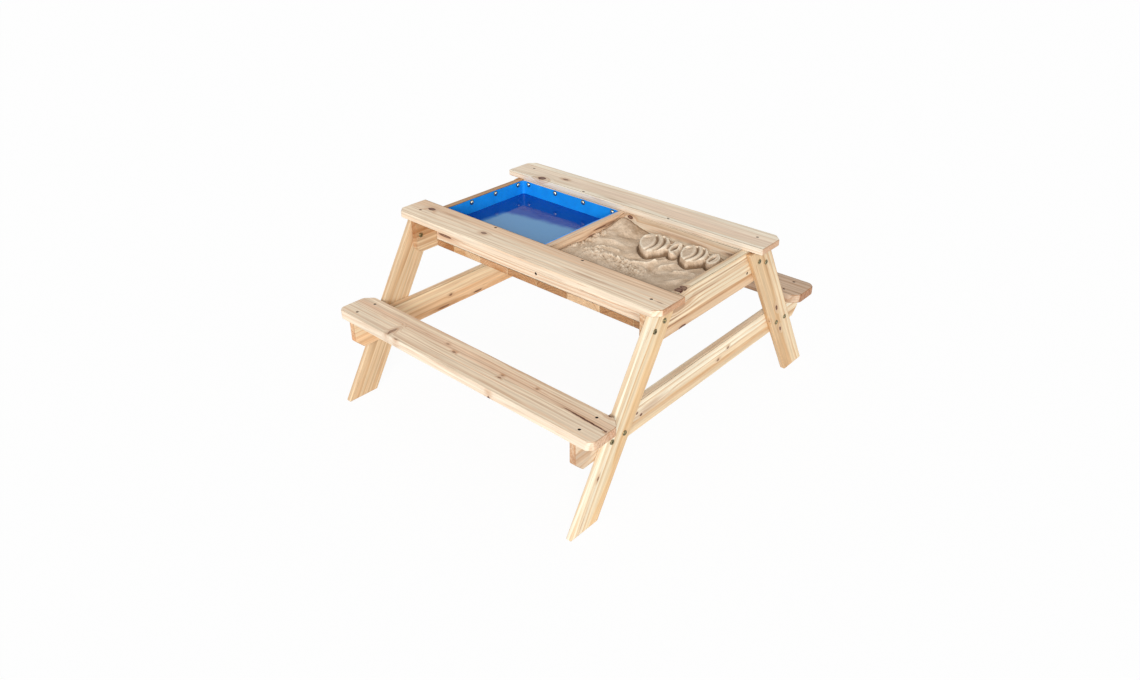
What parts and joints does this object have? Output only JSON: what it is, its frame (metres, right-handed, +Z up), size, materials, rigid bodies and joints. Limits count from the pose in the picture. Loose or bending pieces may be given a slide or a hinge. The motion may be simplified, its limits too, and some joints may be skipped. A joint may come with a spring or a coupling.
{
  "type": "sand and water table",
  "caption": "Child's wooden table with a bench on each side, splayed legs, and an open tray divided into a lined water bay and a sand bay.",
  "frame": {"origin": "on the ground, under the middle of the table", "axes": "+X along the planks from the water bay to the sand bay, +Y from the front bench to the back bench, +Z up"},
  "size_m": [0.908, 1.0562, 0.492],
  "materials": {
    "top_plank_wood": "planed, unfinished",
    "seat_wood": "planed, unfinished",
    "leg_wood": "planed, unfinished",
    "bearer_wood": "planed, unfinished",
    "tray_wood": "planed, unfinished",
    "floor_wood": "sawn, unfinished",
    "screw_steel": "dull",
    "bolt_steel": "yellow zinc plated",
    "liner_pvc": "smooth",
    "stud_brass": "plated",
    "washer_rubber": "matte",
    "water": "clear water",
    "sand": "loose play sand"
  },
  "bodies": {
    "root": {"top_plank_front": "top_plank_wood", "top_plank_back": "top_plank_wood", "seat_plank_front": "seat_wood", "seat_plank_back": "seat_wood", "leg_front_left": "leg_wood", "leg_front_right": "leg_wood", "leg_back_left": "leg_wood", "leg_back_right": "leg_wood", "seat_bearer_left": "bearer_wood", "seat_bearer_right": "bearer_wood", "tray_end_left": "tray_wood", "tray_end_right": "tray_wood", "tray_side_front": "tray_wood", "tray_side_back": "tray_wood", "tray_divider": "tray_wood", "floor_board_1": "floor_wood", "floor_board_2": "floor_wood", "floor_board_3": "floor_wood", "floor_board_4": "floor_wood", "floor_board_5": "floor_wood", "floor_board_6": "floor_wood", "floor_board_7": "floor_wood", "floor_board_8": "floor_wood", "top_plank_screws": "screw_steel", "seat_screws": "screw_steel", "tray_end_screws": "screw_steel", "divider_screws": "screw_steel", "floor_screws": "screw_steel", "upper_leg_bolts": "bolt_steel", "lower_leg_bolts": "bolt_steel", "upper_sleeve_nuts": "bolt_steel", "lower_sleeve_nuts": "bolt_steel", "water_liner": "liner_pvc", "liner_studs": "stud_brass", "liner_washers": "washer_rubber", "water_fill": "water", "sand_fill": "sand"}
  },
  "joints": []
}
